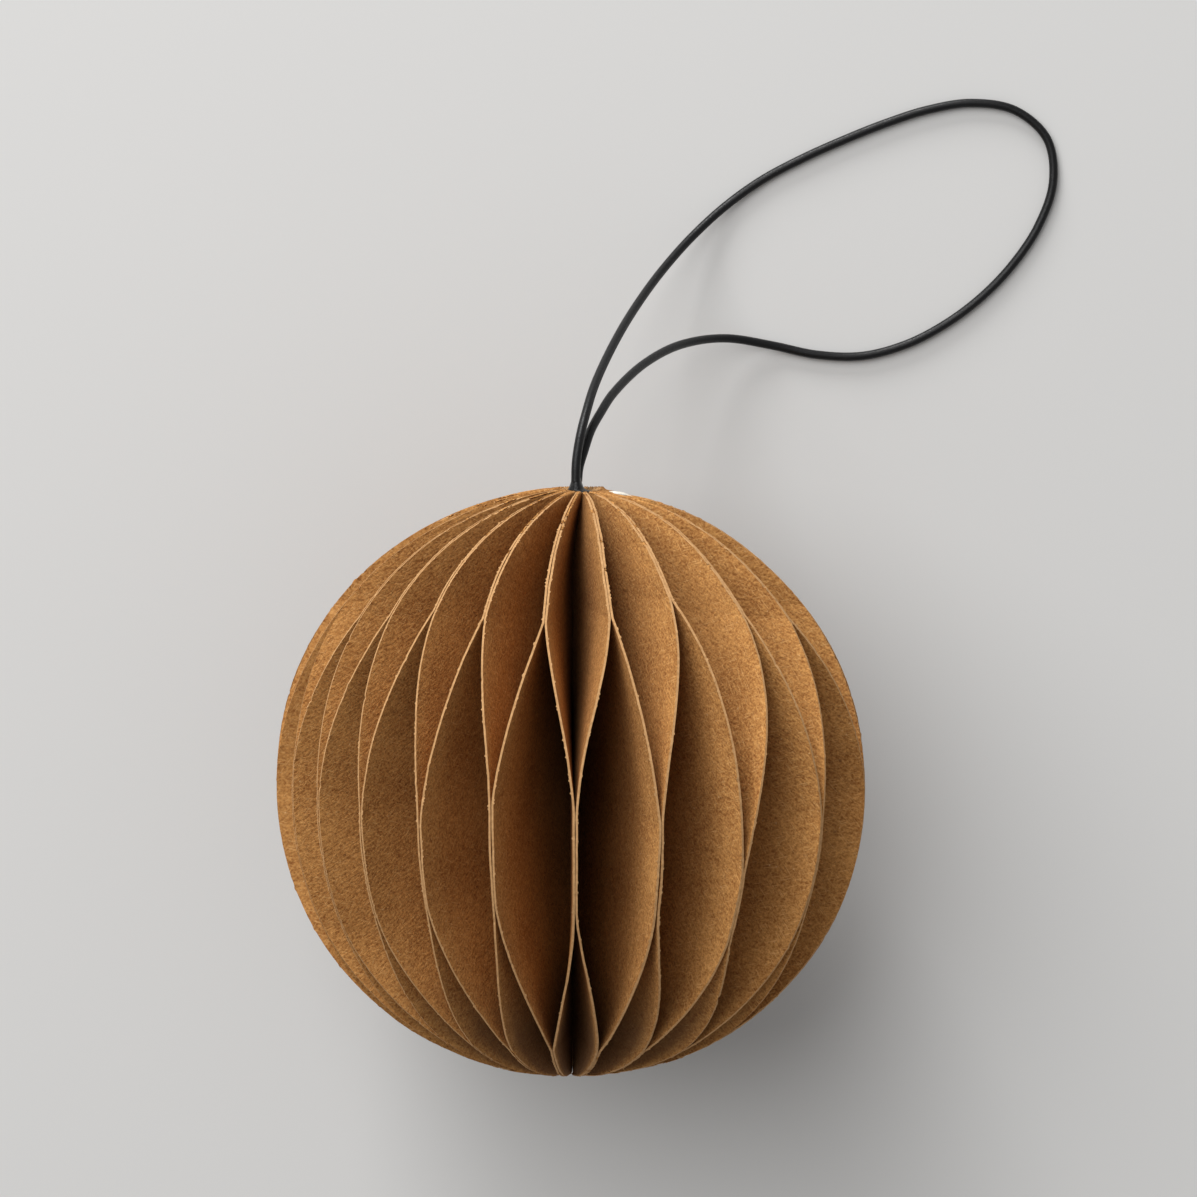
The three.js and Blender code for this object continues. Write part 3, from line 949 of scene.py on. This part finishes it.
leaves = [make_leaf(order) for order in range(LEAF_COUNT)]
bpy.data.objects.remove(blank)
bpy.ops.object.select_all(action="DESELECT")
for leaf in leaves:
    leaf.select_set(True)
bpy.context.view_layer.objects.active = leaves[0]
bpy.ops.object.shade_smooth_by_angle(angle=SHARP_FOLD)
bpy.ops.object.select_all(action="DESELECT")
triangles = sum(len(face.vertices) - 2 for face in leaves[0].data.polygons)
print(len(leaves), "leaves of", triangles, "triangles each")

# %% [markdown]
# ## Knot in the core
# The two ends of the loop are knotted inside the core and sealed with a dab of black glue, which
# shows as a small flared collar where the cord leaves the pole. A disc is drawn up ring by ring, as
# on a lathe, pressed oval between the leaves, and roughened so that it reads as a dried dab.

# %% Draw up the knot
KNOT_FOOT = knot_low.y
# Millimetres up, aside, half across and half deep of each ring. The second row is the pool of glue.
KNOT_RINGS = [
    (0.0, 0, 0.9, 1.3), (1.0, 0, 1.2, 1.9), (4.2, 0, 1.3, 1.9),
    (5.0, 0.8, 2.0, 2.1), (5.65, 0.8, 2.1, 2.2),
    (5.8, 0, 1.3, 1.95), (6.2, 0, 1.12, 1.85), (6.6, 0, 0.95, 1.7),
    (7.0, 0, 0.82, 1.62), (7.5, 0, 0.74, 1.56), (7.8, 0, 0.5, 1.2),
]
KNOT_SIDES = 20
KNOT_LUMPS = 0.00022
KNOT_LUMP_SIZE = 0.0007


def lumpy(piece, size, depth):
    """Roughen a piece with soft lumps, by a Displace modifier over a cloud texture."""
    cloud = bpy.data.textures.new(piece.name + "_lumps", "CLOUDS")
    cloud.noise_scale = size
    push = piece.modifiers.new("lumps", "DISPLACE")
    push.texture = cloud
    push.texture_coords = "LOCAL"
    push.strength = depth
    bpy.ops.object.modifier_apply(modifier=push.name)


def rounded(piece, levels):
    smooth = piece.modifiers.new("rounded", "SUBSURF")
    smooth.levels = levels
    smooth.render_levels = levels
    bpy.ops.object.modifier_apply(modifier=smooth.name)


def draw_up_knot():
    middle = Vector((BALL_CENTRE.x + KNOT_ASIDE, KNOT_FOOT, BALL_CENTRE.z))
    first, *others = [[size * MILLIMETRE for size in ring] for ring in KNOT_RINGS]
    bpy.ops.mesh.primitive_circle_add(
        vertices=KNOT_SIDES, radius=first[2], fill_type="NGON",
        location=middle, rotation=(-math.pi / 2, 0, 0),
    )
    knot = bpy.context.object
    knot.name = "glued_knot"
    bpy.ops.object.transform_apply(location=True, rotation=True, scale=True)
    bpy.ops.object.mode_set(mode="EDIT")
    bpy.ops.mesh.select_all(action="SELECT")
    bpy.ops.transform.resize(value=(1, 1, first[3] / first[2]), center_override=middle)
    for before, ring in zip([first, *others], others):
        climb = (ring[1] - before[1], ring[0] - before[0], 0)
        bpy.ops.mesh.extrude_region_move(TRANSFORM_OT_translate={"value": climb})
        centre = middle + Vector((ring[1], ring[0], 0))
        spread = (ring[2] / before[2], 1, ring[3] / before[3])
        bpy.ops.transform.resize(value=spread, center_override=centre)
    bpy.ops.mesh.select_all(action="SELECT")
    bpy.ops.mesh.normals_make_consistent(inside=False)
    bpy.ops.object.mode_set(mode="OBJECT")
    rounded(knot, 2)
    lumpy(knot, KNOT_LUMP_SIZE, KNOT_LUMPS)
    bpy.ops.object.shade_smooth()
    knot.data.materials.append(CORD_FINISH)
    return knot


knot = draw_up_knot()
print("knot spans", in_mm(knot.dimensions), "mm")

# %% [markdown]
# ## Glue bead
# A little white glue has squeezed out beside the pole and dried as a bead over one joint. It starts
# as a ball, stretched along the joint and drawn thin at one end, and is set into the rims below it.

# %% Mix the dried glue finish
GLUE_WHITE = (0.80, 0.78, 0.71)
GLUE_THIN = (0.66, 0.60, 0.48)


def dried_glue_finish():
    finish, nodes, links, shader = new_finish("dried_white_glue")
    place = add_node(nodes, "ShaderNodeTexCoord").outputs["Object"]
    haze = noise_of(nodes, links, place, scale=900, detail=3)
    share = ranged(nodes, links, haze, low=0.4, high=0.65)
    links.new(blended(nodes, links, share, GLUE_WHITE, GLUE_THIN), shader.inputs["Base Color"])
    links.new(raised(nodes, links, haze, strength=0.3, distance=0.0001), shader.inputs["Normal"])
    shader.inputs["Roughness"].default_value = 0.3
    return finish


GLUE_FINISH = dried_glue_finish()
print("mixed", GLUE_FINISH.name)

# %% Model the glue bead
BEAD_NEAR = 88
BEAD_ANGLE = JOINTS[np.argmin(np.abs(JOINTS - BEAD_NEAR))]
BEAD_LATITUDE = 82.9
BEAD_LENGTH = 0.0042
BEAD_WIDTH = 0.0011
BEAD_HEIGHT = 0.0007
BEAD_SINK = 0.0002
BEAD_TAIL = 0.45
BEAD_LUMPS = 0.00012
BEAD_LUMP_SIZE = 0.0008


def model_bead():
    lift = BALL_RADIUS + BEAD_HEIGHT / 2 - BEAD_SINK
    bpy.ops.mesh.primitive_uv_sphere_add(segments=24, ring_count=14, radius=0.5)
    bead = bpy.context.object
    bead.name = "glue_drop"
    bead.scale = (BEAD_WIDTH, BEAD_LENGTH, BEAD_HEIGHT)
    bpy.ops.object.transform_apply(scale=True)
    # A new ball is selected all over, so it is deselected before the points of its tail are chosen
    bpy.ops.object.mode_set(mode="EDIT")
    bpy.ops.mesh.select_all(action="DESELECT")
    bpy.ops.object.mode_set(mode="OBJECT")
    for vertex in bead.data.vertices:
        vertex.select = vertex.co.y < -BEAD_LENGTH / 4
    bpy.ops.object.mode_set(mode="EDIT")
    tail_foot = (0, 0, -BEAD_HEIGHT / 4)
    bpy.ops.transform.resize(value=(BEAD_TAIL, 1, BEAD_TAIL), center_override=tail_foot)
    bpy.ops.object.mode_set(mode="OBJECT")
    rounded(bead, 1)
    lumpy(bead, BEAD_LUMP_SIZE, BEAD_LUMPS)
    upright = Matrix.Translation((0, 0, lift))
    lean = Matrix.Rotation(math.radians(90 - BEAD_LATITUDE), 4, "X")
    turn = Matrix.Rotation(math.radians(BEAD_ANGLE), 4, "Z")
    lie = Matrix.Rotation(-math.pi / 2, 4, "X")
    slip_aside, slip_down = slip_at(BEAD_ANGLE, BEAD_LATITUDE)
    aside = lean_at(BALL_RADIUS * math.sin(math.radians(BEAD_LATITUDE))) + slip_aside
    shift = Matrix.Translation(BALL_CENTRE + Vector((aside, -slip_down, 0)))
    bead.data.transform(shift @ lie @ turn @ lean @ upright)
    bpy.ops.object.shade_smooth()
    bead.data.materials.append(GLUE_FINISH)
    return bead


bead = model_bead()
bead_box = in_mm(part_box("seam_glue_bead"))
print("bead is at", in_mm(bead.data.vertices[0].co), "mm, and its solid in", bead_box)

# %% [markdown]
# ## What stands for what
# Each finished piece takes the place of its solid and rides on the one body that the ball has.

# %% Tie the pieces to the frame
for leaf, node in zip(leaves, LEAF_NODES):
    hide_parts(node)
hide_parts("cord_knot")
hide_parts("hanging_cord")
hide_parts("seam_glue_bead")
pieces = (*leaves, knot, cord, bead)
for piece in pieces:
    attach(piece, "root")
print("tied", len(pieces), "pieces to the frame")
